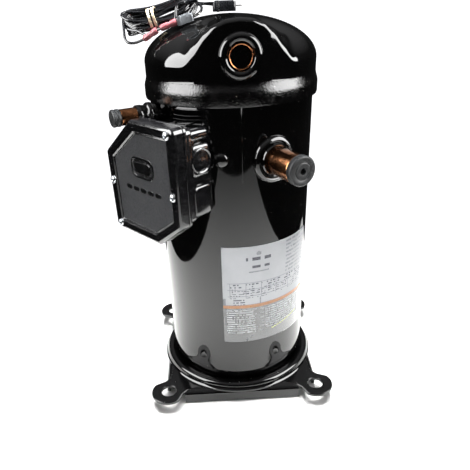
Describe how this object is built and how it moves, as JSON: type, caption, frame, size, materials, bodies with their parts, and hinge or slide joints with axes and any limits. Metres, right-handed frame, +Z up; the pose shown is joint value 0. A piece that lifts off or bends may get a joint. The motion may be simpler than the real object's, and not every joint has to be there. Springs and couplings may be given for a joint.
{
  "type": "scroll compressor",
  "caption": "Hermetic refrigeration compressor: an upright black steel shell on a square foot plate, with plugged copper stubs, a terminal box and a bundle of leads on its cap.",
  "frame": {"origin": "on the shell's axis, in the plane of the foot plate's turned-down edges, on which the machine stands; the mount base is the shell's flat underside in that plane", "axes": "+Z up along the shell; -Y the front, which the discharge fitting faces; +X to the right seen from the front"},
  "size_m": [0.2539, 0.2483, 0.4623],
  "materials": {
    "black_enamel": "gloss black enamel",
    "moulded_plastic": "black moulded plastic",
    "copper": "drawn copper",
    "plug_rubber": "soft black rubber",
    "zinc_steel": "zinc plated",
    "cast_iron": "machined grey iron",
    "bare_steel": "ground steel",
    "lamination": "stacked electrical steel",
    "winding_copper": "enamelled winding wire",
    "cast_aluminium": "die cast",
    "bearing_bronze": "sintered bronze",
    "label_film": "laminated film plate",
    "lead_jacket": "black lead insulation",
    "band_rubber": "natural rubber",
    "sleeve_nylon": "pink crimp sleeve",
    "clear_nylon": "translucent nylon"
  },
  "bodies": {
    "casing": {"shell_tube": "black_enamel", "top_cap": "black_enamel", "bottom_cup": "black_enamel", "base_plate": "black_enamel", "plug_weld": "black_enamel", "discharge_boss": "black_enamel", "suction_collar": "black_enamel", "access_collar": "black_enamel", "terminal_fence": "black_enamel", "terminal_box": "moulded_plastic", "discharge_tube": "copper", "suction_tube": "copper", "access_tube": "copper", "box_gasket": "plug_rubber", "ground_screw": "zinc_steel", "scroll_bolt_1": "zinc_steel", "scroll_bolt_2": "zinc_steel", "scroll_bolt_3": "zinc_steel", "main_housing": "cast_iron", "lower_bracket": "cast_iron", "muffler_plate": "bare_steel", "valve_guard": "bare_steel", "terminal_block": "bare_steel", "terminal_pin_1": "bare_steel", "terminal_pin_2": "bare_steel", "terminal_pin_3": "bare_steel", "stator_core": "lamination", "stator_winding": "winding_copper", "lower_bush": "bearing_bronze", "main_bush": "bearing_bronze", "relief_valve": "bearing_bronze", "nameplate": "label_film", "lead_hank": "lead_jacket", "lead_tail": "lead_jacket", "rubber_band": "band_rubber", "crimp_sleeve": "sleeve_nylon", "lead_plug": "clear_nylon", "flag_terminal": "clear_nylon"},
    "crank": {"crankshaft": "bare_steel", "oil_pickup": "bare_steel", "rotor_core": "lamination", "rotor_cage": "cast_aluminium", "upper_counterweight": "cast_iron", "lower_counterweight": "cast_iron", "drive_bush": "bare_steel"},
    "orbiter": {"orbiting_scroll": "cast_iron", "orbiting_bush": "bearing_bronze"},
    "gallery": {"gallery_plug": "bearing_bronze"},
    "oldham": {"oldham_ring": "cast_aluminium"},
    "fixed": {"fixed_scroll": "cast_iron"},
    "seal": {"floating_seal": "cast_aluminium"},
    "valve": {"check_valve_disc": "bare_steel"},
    "cover": {"terminal_cover": "moulded_plastic", "cover_screw_1": "zinc_steel", "cover_screw_2": "zinc_steel", "cover_screw_3": "zinc_steel", "cover_screw_4": "zinc_steel"},
    "discharge_stopper": {"discharge_plug": "plug_rubber"},
    "suction_stopper": {"suction_plug": "plug_rubber"},
    "access_stopper": {"access_plug": "plug_rubber"}
  },
  "joints": [
    {"name": "crank_spin", "type": "hinge", "parent": "casing", "child": "crank", "pos_m": [0, 0, 0.15], "axis": [0, 0, 1], "continuous": true},
    {"name": "orbit_turn", "type": "hinge", "parent": "crank", "child": "orbiter", "pos_m": [0.0052, 0, 0.3], "axis": [0, 0, 1], "continuous": true},
    {"name": "gallery_turn", "type": "hinge", "parent": "crank", "child": "gallery", "pos_m": [0.0026, 0, 0.3], "axis": [0, 0, 1], "continuous": true},
    {"name": "oldham_turn", "type": "hinge", "parent": "gallery", "child": "oldham", "pos_m": [0.0052, 0, 0.3], "axis": [0, 0, 1], "continuous": true},
    {"name": "fixed_scroll_float", "type": "slide", "parent": "casing", "child": "fixed", "axis": [0, 0, 1], "range_m": [0, 0.0008]},
    {"name": "seal_float", "type": "slide", "parent": "casing", "child": "seal", "axis": [0, 0, 1], "range_m": [0, 0.0014]},
    {"name": "check_valve_lift", "type": "slide", "parent": "casing", "child": "valve", "axis": [0, 0, 1], "range_m": [0, 0.006]},
    {"name": "cover_off", "type": "slide", "parent": "casing", "child": "cover", "axis": [-0.7431, -0.6691, 0], "range_m": [0, 0.04]},
    {"name": "discharge_plug_pull", "type": "slide", "parent": "casing", "child": "discharge_stopper", "axis": [0.0523, -0.9986, 0], "range_m": [0, 0.025]},
    {"name": "suction_plug_pull", "type": "slide", "parent": "casing", "child": "suction_stopper", "axis": [0.4305, -0.9026, 0], "range_m": [0, 0.03]},
    {"name": "access_plug_pull", "type": "slide", "parent": "casing", "child": "access_stopper", "axis": [-0.8788, -0.4772, 0], "range_m": [0, 0.03]}
  ],
  "couplings": [
    {"joint": "orbit_turn", "follows": "crank_spin", "ratio": -1},
    {"joint": "gallery_turn", "follows": "crank_spin", "ratio": -2},
    {"joint": "oldham_turn", "follows": "crank_spin", "ratio": 1}
  ]
}
